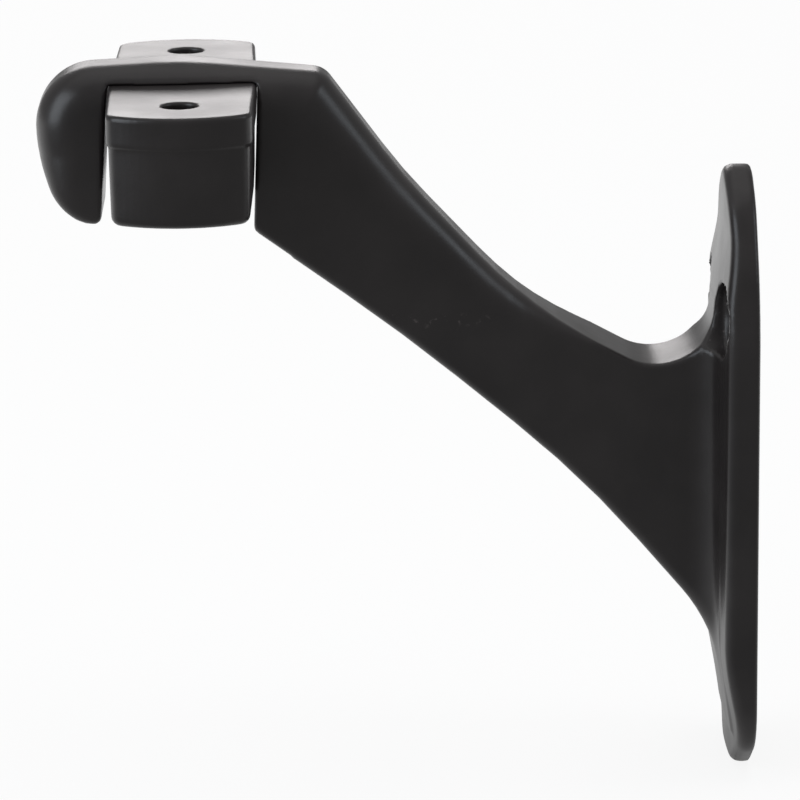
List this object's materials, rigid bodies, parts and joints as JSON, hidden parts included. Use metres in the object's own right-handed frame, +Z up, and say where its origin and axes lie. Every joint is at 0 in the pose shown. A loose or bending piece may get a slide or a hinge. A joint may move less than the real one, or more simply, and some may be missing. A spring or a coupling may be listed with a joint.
{
  "type": "handrail bracket",
  "caption": "Cast wall bracket for a handrail: an arm sweeps up from an arched wall plate to a hooked head, and a loose saddle in the hook takes the rail screws.",
  "frame": {"origin": "centre of the wall plate's back face, half way up the plate", "axes": "+X out of the back face into the wall, -X along the arm's reach; +Y along the rail; +Z up"},
  "size_m": [0.1077, 0.0668, 0.111],
  "materials": {
    "bracket_paint": "satin black powder coat",
    "saddle_paint": "satin black powder coat"
  },
  "bodies": {
    "root": {"bracket_arm": "bracket_paint", "rail_saddle": "saddle_paint"}
  },
  "joints": []
}
